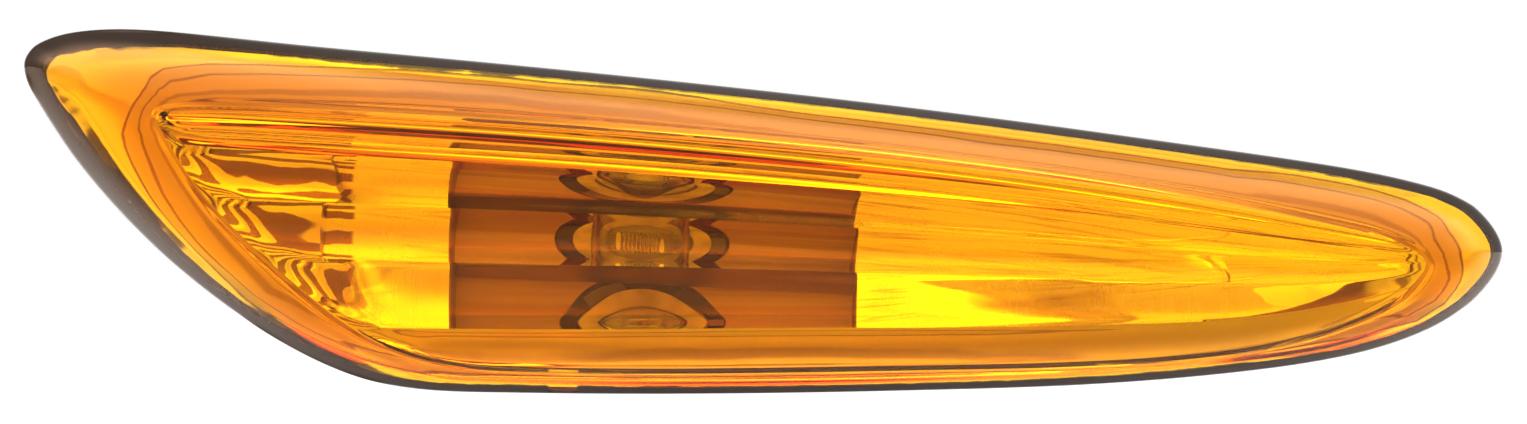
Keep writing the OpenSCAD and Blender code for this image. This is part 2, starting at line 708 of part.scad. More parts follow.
module housing() {
  out_d = mirror_t + mirror_gap + wall_t;
  in_d = mirror_t + mirror_gap;
  tongue_y = well_d + clip_gap;
  color([0.09, 0.09, 0.1]) difference() {
    union() {
      difference() {
        union() {
          slab(inset(edge_plain, weld_t), flange_front, flange_back);
          weld_rib();
          slab(well_line, flange_back - eps, well_d);
          hook();
          at_clip() block([-wall_t, panel_t, -clip_w / 2 - wall_t], [clip_pad, well_d, clip_w / 2 + wall_t]);
        }
        slab(well_in_line, flange_front - 1, well_d - wall_t);
      }
      slab(chamber_plan(out_d), well_d - wall_t / 2, rear_out);
      bar(boss_r, lug_room_front, rear_out);
      post(nose_post);
      post(tail_post);
      chamber_ribs();
      for (k = [1 : centre_n]) for (side = [0, low_side])
        centre_rib(side + round(plain_nu * k / (centre_n + 1)));
      at_clip() translate([-clip_tongue + peg_in, 0, 0]) {
        bar(peg_r, well_d - wall_t / 2, tongue_y + clip_t + clip_gap + eps);
        bar(peg_r + 0.8, tongue_y + clip_t + clip_gap, tongue_y + clip_t + clip_gap + 0.7);
      }
    }
    slab(chamber_plan(in_d), flange_back, rear_in);
    bar(notch_r, lug_room_front, rear_in);
    bar(bore_r, rear_in - 1, rear_out + 1);
    lugs(notch_r, lug_w + 2 * lug_gap, lug_turn, rear_in - 1, rear_out + 1);
  }
  // Stop for the lugs inside the chamber
  color([0.09, 0.09, 0.1]) rotate([0, -stop_turn, 0])
    block([neck_r + lug_gap, lug_back - lug_t, -stop_w / 2], [lug_r, rear_in + eps, stop_w / 2]);
}
stop_w = 1.6;
stop_turn = asin((lug_w / 2 + stop_w / 2 + lug_gap) / neck_r);

module seal() {
  color([0.16, 0.16, 0.17]) difference() {
    slab(inset(edge_plain, seal_inset), -seal_t, 0);
    slab(edge_plain + steps_in(edge_plain, window_plain) * (seal_inset + seal_w), -seal_t - 1, 1);
  }
}

// Outline of a bent strip of thickness t along a path
function strip(path, t) =
  let(
    n = len(path),
    way = [for (i = [0 : n - 2]) (path[i + 1] - path[i]) / norm(path[i + 1] - path[i])],
    off = [for (i = [0 : n - 1])
      let(
        a = way[max(0, i - 1)],
        b = way[min(n - 2, i)],
        m = [-a[1] - b[1], a[0] + b[0]]
      )
      m / (m * m) * 2 * t / 2]
  )
  concat([for (i = [0 : n - 1]) path[i] + off[i]], [for (i = [n - 1 : -1 : 0]) path[i] - off[i]]);

module clip() {
  n = clip_pad + clip_gap + clip_t / 2;
  back = well_d + clip_gap + clip_t / 2;
  elbow = n + clip_reach;
  path = [[-clip_tongue, back], [n - clip_t / 2, back], [n, back - clip_t / 2], [n, well_d - 4 * clip_t],
    [elbow, panel_t + clip_elbow], [elbow - clip_t / 3, panel_t + clip_elbow - clip_t], [n, panel_t / 3]];
  color([0.72, 0.73, 0.75]) at_clip() difference() {
    translate([0, 0, -clip_w / 2]) linear_extrude(clip_w) polygon(strip(path, clip_t));
    translate([-clip_tongue + peg_in, 0, 0]) bar(peg_r + clip_gap, well_d - 1, well_d + 2);
  }
}

// Depths of the bulb and of the terminals
bulb_y = neck_front + bulb_sink;
wedge_back = bulb_y + wedge_l;
tip_y = bulb_y - glass_l;
light_y = bulb_y - light_l;
slot_back = wedge_back + lead_d + 2 * bulb_gap;
leaf_z = wedge_t / 2 + lead_d + 2 * bulb_gap;

// Both terminals, grown by g: a contact leaf against the wedge and a blade in the socket
module terminal(side, g) {
  z0 = side > 0 ? leaf_z - g : -leaf_z - leaf_t - g;
  b0 = side > 0 ? blade_in - g : -blade_in - blade_w - g;
  block([-leaf_w / 2 - g, bulb_y + leaf_in - g, z0],
    [leaf_w / 2 + g, slot_back + leaf_back + g, z0 + leaf_t + 2 * g]);
  block([-blade_t / 2 - g, slot_back + leaf_back / 3 - g, b0],
    [blade_t / 2 + g, plug_back - blade_back + g, b0 + blade_w + 2 * g]);
}

module terminal_upper() {
  color([0.8, 0.65, 0.35]) terminal(1, 0);
}

module terminal_lower() {
  color([0.8, 0.65, 0.35]) terminal(-1, 0);
}

module holder() {
  in_w = plug_w / 2 - plug_wall;
  in_h = plug_h / 2 - plug_wall;
  color([0.2, 0.2, 0.21]) difference() {
    union() {
      bar(neck_r, neck_front, collar_front + eps);
      lugs(lug_r, lug_w, 0, lug_back - lug_t, lug_back);
      bar(collar_r, collar_front, collar_back);
      bar(grip_r, collar_back - eps, grip_back);
      block([-grip_r - wing_reach, collar_back - eps, -wing_t / 2],
        [grip_r + wing_reach, grip_back, wing_t / 2]);
      block([-plug_h / 2, grip_back - eps, -plug_w / 2], [plug_h / 2, plug_back, plug_w / 2]);
      for (side = [-1, 1]) for (k = [0.5 : 2.5])
        translate([side * (grip_r + k * grip_pitch), 0, 0])
          block([-grip_rib / 2, collar_back + grip_pitch, -wing_t / 2 - grip_rib],
            [grip_rib / 2, grip_back - grip_pitch, wing_t / 2 + grip_rib]);
      // Catch for the plug
      translate([plug_h / 2, grip_back + catch_l, 0])
        block([-eps, -catch_l / 2, -catch_w / 2], [catch_h, catch_l / 2, catch_w / 2]);
    }
    bar(glass_r + bulb_gap + 0.2, neck_front - 1, bulb_y + bulb_gap);
    block([-wedge_w / 2 - bulb_gap, bulb_y - 1, -leaf_z - leaf_t - bulb_gap],
      [wedge_w / 2 + bulb_gap, slot_back, leaf_z + leaf_t + bulb_gap]);
    block([-in_h, grip_back, -in_w], [in_h, plug_back + 1, in_w]);
    terminal(1, bulb_gap / 2);
    terminal(-1, bulb_gap / 2);
  }
}

module ring() {
  mid_r = (notch_r + collar_r) / 2;
  color([0.75, 0.3, 0.15]) translate([0, rear_out + ring_room / 2, 0]) rotate([90, 0, 0])
    rotate_extrude() translate([mid_r, 0]) circle(d = ring_d, $fn = 32);
}

module glass() {
  inner = glass_r - glass_t;
  dome_y = tip_y + glass_r;
  color([0.9, 0.95, 1, 0.5]) difference() {
    union() {
      translate([0, dome_y, 0]) sphere(glass_r);
      bar(glass_r, dome_y, bulb_y);
      block([-wedge_w / 2, bulb_y - eps, -wedge_t / 2], [wedge_w / 2, wedge_back, wedge_t / 2]);
    }
    translate([0, dome_y, 0]) sphere(inner);
    bar(inner, dome_y, bulb_y - pinch_t);
    for (side = [-1, 1]) translate([side * lead_span / 2, 0, 0])
      bar(lead_d / 2 + bulb_gap / 2, bulb_y - 2 * pinch_t, wedge_back + 1);
  }
}

// Lead wire from the filament through the wedge, folded back along the wedge's flat
module lead(side) {
  fold = side * (wedge_t / 2 + bulb_gap + lead_d / 2);
  end_y = wedge_back + bulb_gap + lead_d / 2;
  color([0.7, 0.7, 0.72]) translate([side * lead_span / 2, 0, 0]) {
    bar(lead_d / 2, light_y, end_y);
    translate([0, end_y, min(0, fold)]) cylinder(d = lead_d, h = abs(fold));
    translate([0, end_y, 0]) sphere(d = lead_d);
    translate([0, end_y, fold]) sphere(d = lead_d);
    translate([0, 0, fold]) bar(lead_d / 2, bulb_y + 1.3 * leaf_in, end_y);
  }
}

module lead_nose() { lead(-1); }
module lead_tail() { lead(1); }

// Coiled filament between the lead wires: a ring of wire swept along a helix
coil_seg = 10;
wire_seg = 6;
module filament() {
  span = lead_span / 2 - lead_d / 2 - bulb_gap / 2;
  steps = coil_turns * coil_seg;
  mid_r = coil_r - wire_d / 2;
  pitch = (2 * span - wire_d) / coil_turns;
  points = [for (i = [0 : steps]) for (k = [0 : wire_seg - 1])
    let(
      a = 360 * i / coil_seg,
      b = 360 * k / wire_seg,
      r = mid_r + wire_d / 2 * cos(b)
    )
    [pitch * i / coil_seg + wire_d / 2 * (1 + sin(b)) - span, r * cos(a), r * sin(a)]];
  sides = flat([for (i = [0 : steps - 1]) for (k = [0 : wire_seg - 1])
    let(n = (k + 1) % wire_seg)
    quad(i * wire_seg + k, i * wire_seg + n, (i + 1) * wire_seg + n, (i + 1) * wire_seg + k)]);
  ends = [[for (k = [wire_seg - 1 : -1 : 0]) k], [for (k = [0 : wire_seg - 1]) steps * wire_seg + k]];
  color([0.35, 0.35, 0.38]) translate([0, light_y + lead_d, 0])
    polyhedron(points = points, faces = concat(sides, ends));
}

lens();
reflector();
housing();
seal();
clip();
holder();
ring();
terminal_upper();
terminal_lower();
glass();
lead_nose();
lead_tail();
filament();
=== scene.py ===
import bpy
import math
from mathutils.geometry import intersect_point_line
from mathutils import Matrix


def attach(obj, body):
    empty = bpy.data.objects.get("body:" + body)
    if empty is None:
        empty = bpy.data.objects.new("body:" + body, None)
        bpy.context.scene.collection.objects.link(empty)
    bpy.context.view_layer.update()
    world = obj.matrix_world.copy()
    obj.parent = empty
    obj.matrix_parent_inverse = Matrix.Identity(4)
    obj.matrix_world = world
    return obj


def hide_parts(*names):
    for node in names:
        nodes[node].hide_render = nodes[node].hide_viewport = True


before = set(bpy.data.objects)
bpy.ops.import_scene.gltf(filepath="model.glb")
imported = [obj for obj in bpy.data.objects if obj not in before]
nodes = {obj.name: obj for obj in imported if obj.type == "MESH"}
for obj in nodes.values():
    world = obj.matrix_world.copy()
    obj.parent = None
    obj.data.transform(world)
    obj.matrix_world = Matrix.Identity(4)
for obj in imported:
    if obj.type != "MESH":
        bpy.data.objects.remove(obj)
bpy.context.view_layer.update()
print("frame loaded:", len(nodes), "CAD nodes")

mm = 0.001


def deselectAll():
    if bpy.context.object and bpy.context.object.mode != "OBJECT":
        bpy.ops.object.mode_set(mode="OBJECT")
    bpy.ops.object.select_all(action="DESELECT")


def pick(piece):
    deselectAll()
    piece.select_set(True)
    bpy.context.view_layer.objects.active = piece


def editAll(piece):
    pick(piece)
    bpy.ops.object.mode_set(mode="EDIT")
    bpy.ops.mesh.select_all(action="SELECT")


def toObject():
    bpy.ops.object.mode_set(mode="OBJECT")


def setPlace(piece):
    pick(piece)
    bpy.ops.object.transform_apply(location=True, rotation=True, scale=True)


def applyAll(piece):
    pick(piece)
    for mod in list(piece.modifiers):
        bpy.ops.object.modifier_apply(modifier=mod.name)


def copyOfNode(nodeName, pieceName):
    pick(nodes[nodeName])
    bpy.ops.object.duplicate()
    piece = bpy.context.object
    piece.name = pieceName
    piece.data.name = pieceName
    piece.parent = None
    for key in list(piece.keys()):
        if key.startswith("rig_"):
            del piece[key]
    bpy.ops.mesh.customdata_custom_splitnormals_clear()
    editAll(piece)
    bpy.ops.mesh.remove_doubles(threshold=0.002 * mm)
    toObject()
    return piece


def dressNode(nodeName, material):
    data = nodes[nodeName].data
    data.materials.clear()
    data.materials.append(material)


def finishPiece(piece, body, material, replaced=()):
    piece.data.materials.clear()
    piece.data.materials.append(material)
    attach(piece, body)
    if replaced:
        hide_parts(*replaced)


def newGroup(name, inputs, outputs):
    group = bpy.data.node_groups.new(name, "ShaderNodeTree")
    kind = "NodeSocketFloat"
    for label, value in inputs:
        sock = group.interface.new_socket(label, in_out="INPUT", socket_type=kind)
        sock.default_value = value
    for label in outputs:
        group.interface.new_socket(label, in_out="OUTPUT", socket_type=kind)
    start = group.nodes.new("NodeGroupInput")
    end = group.nodes.new("NodeGroupOutput")
    return group, start, end


def mathNode(tree, kind, a, b=None, clamp=False):
    node = tree.nodes.new("ShaderNodeMath")
    node.operation = kind
    node.use_clamp = clamp
    for i, v in enumerate((a, b)):
        if v is None:
            continue
        if isinstance(v, (int, float)):
            node.inputs[i].default_value = v
        else:
            tree.links.new(v, node.inputs[i])
    return node.outputs[0]


def times(tree, value, *factors):
    for factor in factors:
        value = mathNode(tree, "MULTIPLY", value, factor)
    return value


def add(tree, a, b):
    return mathNode(tree, "ADD", a, b)


def minus(tree, a, b):
    return mathNode(tree, "SUBTRACT", a, b)


# how far a value is from a given one, either way
def offFrom(tree, value, middle):
    return mathNode(tree, "ABSOLUTE", minus(tree, value, middle))


def noiseNode(tree, coord, scale, detail=3.0, rough=0.5):
    node = tree.nodes.new("ShaderNodeTexNoise")
    node.inputs["Detail"].default_value = detail
    node.inputs["Roughness"].default_value = rough
    tree.links.new(coord, node.inputs["Vector"])
    if isinstance(scale, (int, float)):
        node.inputs["Scale"].default_value = scale
    else:
        tree.links.new(scale, node.inputs["Scale"])
    return node.outputs["Fac"]


def rangeNode(tree, value, a, b, c=0.0, d=1.0):
    node = tree.nodes.new("ShaderNodeMapRange")
    node.interpolation_type = "SMOOTHSTEP"
    tree.links.new(value, node.inputs["Value"])
    for label, v in (("From Min", a), ("From Max", b), ("To Min", c), ("To Max", d)):
        if isinstance(v, (int, float)):
            node.inputs[label].default_value = v
        else:
            tree.links.new(v, node.inputs[label])
    return node.outputs["Result"]


def objectCoord(tree):
    return tree.nodes.new("ShaderNodeTexCoord").outputs["Object"]


def splitAxes(tree, vector):
    node = tree.nodes.new("ShaderNodeSeparateXYZ")
    tree.links.new(vector, node.inputs[0])
    return node.outputs


def stretched(tree, coord, stretch, turn=(0.0, 0.0, 0.0)):
    node = tree.nodes.new("ShaderNodeMapping")
    node.inputs["Rotation"].default_value = turn
    node.inputs["Scale"].default_value = stretch
    tree.links.new(coord, node.inputs["Vector"])
    return node.outputs["Vector"]


# a value that comes with the mesh, point by point
def meshValue(tree, name):
    node = tree.nodes.new("ShaderNodeAttribute")
    node.attribute_name = name
    return node.outputs["Fac"]


def mixColor(tree, fac, a, b):
    node = tree.nodes.new("ShaderNodeMix")
    node.data_type = "RGBA"
    tree.links.new(fac, node.inputs["Factor"])
    for label, v in (("A", a), ("B", b)):
        sock = [s for s in node.inputs if s.name == label and s.type == "RGBA"][0]
        if isinstance(v, tuple):
            sock.default_value = (*v, 1.0)
        else:
            tree.links.new(v, sock)
    return [s for s in node.outputs if s.type == "RGBA"][0]


def mixValue(tree, fac, a, b):
    node = tree.nodes.new("ShaderNodeMix")
    node.data_type = "FLOAT"
    tree.links.new(fac, node.inputs["Factor"])
    tree.links.new(a, node.inputs[2])
    node.inputs[3].default_value = b
    return node.outputs[0]


# the span that most of a noise's values lie in
noiseSpan = (0.3, 0.7)
grainShare = 0.35


# fine moulded surface: roughness that varies, a height for the bump and a slow flow
def makeMouldGrain():
    group, start, end = newGroup("mouldGrain", [
        ("Grain Scale", 4000.0), ("Flow Scale", 90.0), ("Rough Low", 0.3), ("Rough High", 0.45),
    ], ["Roughness", "Height", "Flow"])
    coord = objectCoord(group)
    grain = noiseNode(group, coord, start.outputs["Grain Scale"], 2.0, 0.6)
    flow = noiseNode(group, coord, start.outputs["Flow Scale"])
    mixed = add(group, times(group, grain, grainShare), times(group, flow, 1.0 - grainShare))
    rough = rangeNode(group, mixed, *noiseSpan, start.outputs["Rough Low"],
                      start.outputs["Rough High"])
    group.links.new(rough, end.inputs["Roughness"])
    group.links.new(grain, end.inputs["Height"])
    group.links.new(flow, end.inputs["Flow"])
    return group


handlingLook = {
    "smudge": (0.52, 0.72),
    "hairTurn": (0.3, 0.5, 0.9),
    "hairStretch": (0.06, 1.0, 1.0),
    "hairWidth": 0.006,
    # the hairs are only in some patches
    "patchScale": 140.0,
    "patch": (0.56, 0.7),
}


# handling marks: soft smudges and fine hair scratches
def makeHandling():
    look = handlingLook
    group, start, end = newGroup("handling", [
        ("Smudge Scale", 60.0), ("Scratch Scale", 500.0),
    ], ["Smudge", "Scratch"])
    coord = objectCoord(group)
    smudge = noiseNode(group, coord, start.outputs["Smudge Scale"], 4.0, 0.6)
    smudge = rangeNode(group, smudge, *look["smudge"])
    place = stretched(group, coord, look["hairStretch"], look["hairTurn"])
    hair = offFrom(group, noiseNode(group, place, start.outputs["Scratch Scale"], 1.0), 0.5)
    hair = rangeNode(group, hair, 0.0, look["hairWidth"], 1.0, 0.0)
    patch = rangeNode(group, noiseNode(group, coord, look["patchScale"], 2.0), *look["patch"])
    group.links.new(smudge, end.inputs["Smudge"])
    group.links.new(times(group, hair, patch), end.inputs["Scratch"])
    return group


mouldGrain = makeMouldGrain()
handling = makeHandling()


def newMaterial(name):
    mat = bpy.data.materials.new(name)
    mat.use_nodes = True
    tree = mat.node_tree
    shader = tree.nodes["Principled BSDF"]
    return mat, tree, shader


def useGroup(tree, group, **values):
    node = tree.nodes.new("ShaderNodeGroup")
    node.node_tree = group
    for label, value in values.items():
        node.inputs[label.replace("_", " ")].default_value = value
    return node.outputs


def addBump(tree, shader, height, strength, distance):
    bump = tree.nodes.new("ShaderNodeBump")
    bump.inputs["Strength"].default_value = strength
    bump.inputs["Distance"].default_value = distance
    tree.links.new(height, bump.inputs["Height"])
    tree.links.new(bump.outputs["Normal"], shader.inputs["Normal"])


amberLook = {
    "ior": 1.49,
    "tint": (1.0, 0.5, 0.22, 1.0),
    "absorb": (0.9965, 0.932, 0.0, 1.0),
    "density": 3000.0,
    "weldColor": (0.004, 0.004, 0.005),
    # depth at which the weld begins, how much wider it is round the nose and how it sways
    "weld": (-5.45 * mm, -5.3 * mm),
    "nose": (-58.0 * mm, -40.0 * mm),
    "noseWider": 0.8 * mm,
    "swayScale": 420.0,
    "sway": (0.5 * mm, 1.5 * mm),
    # the moulding gate: its middle along X, its half width and its top
    "gateX": -7.8 * mm,
    "gateHalf": (1.3 * mm, 1.6 * mm),
    "gateTop": (-12.0 * mm, -11.5 * mm),
    "smudge": 0.015,
    "scratch": 0.05,
    "bumpScale": 90.0,
    "bump": 0.25,
    "bumpHeight": 0.02 * mm,
}


# the weld behind the rim shows as a black border, wider and more uneven round the nose
def weldMask(tree, coord, outer):
    look = amberLook
    axes = splitAxes(tree, coord)
    nose = rangeNode(tree, axes["X"], *look["nose"], 1.0, 0.0)
    sway = minus(tree, noiseNode(tree, coord, look["swayScale"], 3.0, 0.55), 0.5)
    sway = times(tree, sway, rangeNode(tree, nose, 0.0, 1.0, *look["sway"]))
    depth = add(tree, axes["Y"], times(tree, nose, look["noseWider"]))
    depth = add(tree, depth, sway)
    weld = times(tree, rangeNode(tree, depth, *look["weld"]), outer)
    # the moulding gate interrupts the border at the lower edge
    gate = rangeNode(tree, offFrom(tree, axes["X"], look["gateX"]), *look["gateHalf"])
    gate = mathNode(tree, "MAXIMUM", gate, rangeNode(tree, axes["Z"], *look["gateTop"]))
    return times(tree, weld, gate)


toolLines = {
    # the point near the tail where the lines would meet
    "tipX": 78.0 * mm,
    "tipZ": -2.3 * mm,
    # how close they are and how much they drift
    "density": 55.0,
    "drift": 14.0,
    "width": (0.003, 0.02),
    # the angles at the tip between which they lie, and where they begin
    "lowest": (-0.15, -0.11),
    "highest": (0.14, 0.18),
    "begin": (20.0 * mm, 24.0 * mm),
    "patchScale": 60.0,
    "patch": (0.4, 0.6),
    "faintest": 0.25,
    "color": (0.42, 0.32, 0.2),
}


# tool lines on the inner face that run together towards the tail
def toolLineMask(tree, coord, outer):
    look = toolLines
    axes = splitAxes(tree, coord)
    ahead = minus(tree, look["tipX"], axes["X"])
    above = minus(tree, axes["Z"], look["tipZ"])
    turn = mathNode(tree, "ARCTAN2", above, ahead)
    fan = tree.nodes.new("ShaderNodeCombineXYZ")
    tree.links.new(times(tree, turn, look["density"]), fan.inputs["X"])
    tree.links.new(times(tree, axes["X"], look["drift"]), fan.inputs["Y"])
    line = offFrom(tree, noiseNode(tree, fan.outputs["Vector"], 1.0), 0.5)
    line = rangeNode(tree, line, *look["width"], 1.0, 0.0)
    inside = times(tree, minus(tree, 1.0, outer), rangeNode(tree, turn, *look["lowest"]),
                   rangeNode(tree, turn, *look["highest"], 1.0, 0.0),
                   rangeNode(tree, axes["X"], *look["begin"]))
    patchy = rangeNode(tree, noiseNode(tree, coord, look["patchScale"], 2.0),
                       *look["patch"], look["faintest"], 1.0)
    return times(tree, line, inside, patchy)


def makeAmber():
    look = amberLook
    mat, tree, shader = newMaterial("amberClear")
    coord = objectCoord(tree)
    outer = meshValue(tree, "outerFace")
    clear = mixColor(tree, toolLineMask(tree, coord, outer), (1.0, 1.0, 1.0), toolLines["color"])
    color = mixColor(tree, weldMask(tree, coord, outer), clear, look["weldColor"])
    tree.links.new(color, shader.inputs["Base Color"])
    shader.inputs["Transmission Weight"].default_value = 1.0
    shader.inputs["IOR"].default_value = look["ior"]
    shader.inputs["Specular Tint"].default_value = look["tint"]
    marks = useGroup(tree, handling, Smudge_Scale=70.0, Scratch_Scale=600.0)
    rough = add(tree, times(tree, marks["Smudge"], look["smudge"]),
                times(tree, marks["Scratch"], look["scratch"]))
    tree.links.new(rough, shader.inputs["Roughness"])
    waves = noiseNode(tree, coord, look["bumpScale"], 2.0, 0.4)
    addBump(tree, shader, waves, look["bump"], look["bumpHeight"])
    absorb = tree.nodes.new("ShaderNodeVolumeAbsorption")
    absorb.inputs["Color"].default_value = look["absorb"]
    absorb.inputs["Density"].default_value = look["density"]
    out = tree.nodes["Material Output"]
    tree.links.new(absorb.outputs["Volume"], out.inputs["Volume"])
    return mat


paintedRowLook = {
    # fall of the rows along X, first row, pitch and waviness
    "slope": 0.048,
    "start": -0.73 * mm,
    "pitch": 0.85 * mm,
    "wave": 0.45 * mm,
    "waveScale": 260.0,
    "edge": (0.23, 0.27),
    # they lie on the nose side of this place and behind this depth
    "noseSide": (-29.5 * mm, -29.0 * mm),
    "onFloor": (-1.2 * mm, -0.9 * mm),
    # colour of the painted dark reflections
    "color": (0.26, 0.15, 0.11),
}


# painted dark reflections in rows between the round end of the trough and the nose, two behind each
# flute
def paintedRowMask(tree, coord):
    look = paintedRowLook
    axes = splitAxes(tree, coord)
    row = add(tree, axes["Z"], times(tree, axes["X"], look["slope"]))
    waves = minus(tree, noiseNode(tree, coord, look["waveScale"], 2.0), 0.5)
    row = add(tree, row, times(tree, waves, look["wave"]))
    row = times(tree, minus(tree, row, look["start"]), 1 / look["pitch"])
    row = rangeNode(tree, offFrom(tree, mathNode(tree, "FRACT", row), 0.5), *look["edge"], 1.0, 0.0)
    return times(tree, row, rangeNode(tree, axes["X"], *look["noseSide"], 1.0, 0.0),
                 rangeNode(tree, axes["Y"], *look["onFloor"]))


coatLook = {
    # the two ends and the depth of the bulb chamber
    "noseEnd": (-19.8 * mm, -19.2 * mm),
    "tailEnd": (21.7 * mm, 22.3 * mm),
    "deep": (1.0 * mm, 5.0 * mm),
    # drawn lines along the lamp, faint on the mirror and broader in the chamber
    "lineTurn": (0.0, 0.06, 0.0),
    "lineStretch": (0.03, 0.05, 1.0),
    "fineScale": 1500.0,
    "fine": (0.5, 0.66, 0.0, 0.75),
    "broadScale": 420.0,
    "broad": (0.4, 0.64),
    "silver": ((0.93, 0.92, 0.90), (0.62, 0.50, 0.40)),
    # painted shade of the bulb chamber, lighter and darker
    "chamberShade": ((0.43, 0.29, 0.09), (0.28, 0.165, 0.05)),
    "dullRough": 0.2,
    "bump": 0.15,
    "bumpHeight": 0.03 * mm,
}


def makeMetallised():
    look = coatLook
    mat, tree, shader = newMaterial("metallised")
    shader.inputs["Metallic"].default_value = 1.0
    grain = useGroup(tree, mouldGrain, Grain_Scale=1500.0, Flow_Scale=120.0,
                     Rough_Low=0.21, Rough_High=0.30)
    coord = objectCoord(tree)
    axes = splitAxes(tree, coord)
    # down in the bulb chamber the coating is thin and rougher, and its colour is a darker brown,
    # painted shade of the deep recess
    chamber = times(tree, rangeNode(tree, axes["X"], *look["noseEnd"]),
                    rangeNode(tree, axes["X"], *look["tailEnd"], 1.0, 0.0),
                    rangeNode(tree, axes["Y"], *look["deep"]))
    place = stretched(tree, coord, look["lineStretch"], look["lineTurn"])
    fine = rangeNode(tree, noiseNode(tree, place, look["fineScale"], 3.0, 0.6), *look["fine"])
    broad = rangeNode(tree, noiseNode(tree, place, look["broadScale"], 3.0, 0.55), *look["broad"])
    silver = mixColor(tree, fine, *look["silver"])
    chamberShade = mixColor(tree, broad, *look["chamberShade"])
    # painted shade darkens the bulb chamber
    color = mixColor(tree, chamber, silver, chamberShade)
    # the dark rows are painted reflections laid over the mirror colour
    color = mixColor(tree, paintedRowMask(tree, coord), color, paintedRowLook["color"])
    tree.links.new(color, shader.inputs["Base Color"])
    rough = add(tree, grain["Roughness"], times(tree, chamber, look["dullRough"]))
    tree.links.new(rough, shader.inputs["Roughness"])
    addBump(tree, shader, grain["Flow"], look["bump"], look["bumpHeight"])
    return mat


frameLook = {
    # fine steps with painted shade along them: distance from the window and half width in mm, and
    # depth of tone
    "steps": [(0.2, 0.24, 1.0), (0.75, 0.14, 0.85), (1.5, 0.26, 0.45), (2.6, 0.12, 0.7),
              (3.6, 0.15, 0.8)],
    "stepCore": 0.3,
    # colour of the painted shade along the steps
    "stepShadeColor": (0.13, 0.055, 0.04),
    "swayScale": 45.0,
    "sway": 0.9 * mm,
    "satin": ((0.62, 0.63, 0.52), (0.70, 0.71, 0.60)),
    # painted shade towards the lower edge: the heights over which it fades in, then its colour
    "below": (-7.0 * mm, -2.0 * mm),
    "lowerShadeColor": (0.50, 0.42, 0.34),
    "bright": (3.3 * mm, 3.9 * mm),
    "brightColor": (0.93, 0.92, 0.9),
    "brightRough": 0.14,
    "bump": 0.3,
    "bumpHeight": 0.05 * mm,
}


# the frame round the window: satin next to it, bright further out, with fine steps
# that follow the window; the steps are a bump with painted shade along them
def makeFrameCoat():
    look = frameLook
    mat, tree, shader = newMaterial("metallisedFrame")
    shader.inputs["Metallic"].default_value = 1.0
    grain = useGroup(tree, mouldGrain, Grain_Scale=2600.0, Flow_Scale=140.0,
                     Rough_Low=0.34, Rough_High=0.44)
    coord = objectCoord(tree)
    sway = minus(tree, noiseNode(tree, coord, look["swayScale"], 2.0), 0.5)
    away = add(tree, meshValue(tree, "fromWindow"), times(tree, sway, look["sway"]))
    steps = None
    for at, wide, deep in look["steps"]:
        near = offFrom(tree, away, at * mm)
        step = rangeNode(tree, near, look["stepCore"] * wide * mm, wide * mm, deep, 0.0)
        steps = step if steps is None else mathNode(tree, "MAXIMUM", steps, step)
    bright = rangeNode(tree, away, *look["bright"])
    satin = mixColor(tree, grain["Flow"], *look["satin"])
    # painted shade: darker towards the lower edge, which faces away from the source
    below = rangeNode(tree, splitAxes(tree, coord)["Z"], *look["below"], 1.0, 0.0)
    satin = mixColor(tree, below, satin, look["lowerShadeColor"])
    color = mixColor(tree, bright, satin, look["brightColor"])
    # painted shade along the steps
    color = mixColor(tree, steps, color, look["stepShadeColor"])
    tree.links.new(color, shader.inputs["Base Color"])
    rough = rangeNode(tree, bright, 0.0, 1.0, grain["Roughness"], look["brightRough"])
    tree.links.new(rough, shader.inputs["Roughness"])
    addBump(tree, shader, steps, look["bump"], look["bumpHeight"])
    return mat


# dark and light colour, lowest and highest roughness, scale of the grain and its bump
plasticLook = {
    "weldBlack": ((0.008, 0.008, 0.009), (0.016, 0.016, 0.017), 0.3, 0.45, 3800.0, 0.3),
    "blackPlastic": ((0.010, 0.010, 0.011), (0.022, 0.022, 0.024), 0.32, 0.5, 5200.0, 0.25),
    "holderPlastic": ((0.15, 0.148, 0.145), (0.22, 0.217, 0.21), 0.38, 0.55, 4200.0, 0.35),
    "siliconeRed": ((0.42, 0.08, 0.03), (0.55, 0.13, 0.05), 0.45, 0.6, 2600.0, 0.1),
}
plasticSheen = 0.32
plasticBump = 0.02 * mm

# pale film that the hot bulb leaves on the front of the holder, ahead of a depth along Y
filmLook = {
    "depth": (11.5 * mm, 13.0 * mm),
    "color": (0.88, 0.80, 0.66),
    "scale": 350.0,
    "patch": (0.3, 0.6, 0.6, 1.0),
}


def makePlastic(name, film=None):
    dark, light, low, high, grainScale, bump = plasticLook[name]
    mat, tree, shader = newMaterial(name)
    shader.inputs["Specular IOR Level"].default_value = plasticSheen
    grain = useGroup(tree, mouldGrain, Grain_Scale=grainScale, Flow_Scale=110.0,
                     Rough_Low=low, Rough_High=high)
    marks = useGroup(tree, handling, Smudge_Scale=80.0, Scratch_Scale=700.0)
    mask = mathNode(tree, "ADD", times(tree, grain["Flow"], 0.6),
                    times(tree, marks["Scratch"], 0.4), clamp=True)
    color = mixColor(tree, mask, dark, light)
    if film:
        coord = objectCoord(tree)
        pale = rangeNode(tree, splitAxes(tree, coord)["Y"], *film["depth"], 1.0, 0.0)
        patch = rangeNode(tree, noiseNode(tree, coord, film["scale"]), *film["patch"])
        color = mixColor(tree, times(tree, pale, patch), color, film["color"])
    tree.links.new(color, shader.inputs["Base Color"])
    rough = add(tree, grain["Roughness"], times(tree, marks["Smudge"], 0.1))
    tree.links.new(rough, shader.inputs["Roughness"])
    addBump(tree, shader, grain["Height"], bump, plasticBump)
    return mat


foamLook = {
    "cellScale": 3200.0,
    "cell": (0.1, 0.6),
    "colors": ((0.012, 0.012, 0.013), (0.05, 0.05, 0.052)),
    "rough": 0.95,
    "sheen": 0.2,
    "bump": 0.6,
    "bumpHeight": 0.12 * mm,
}


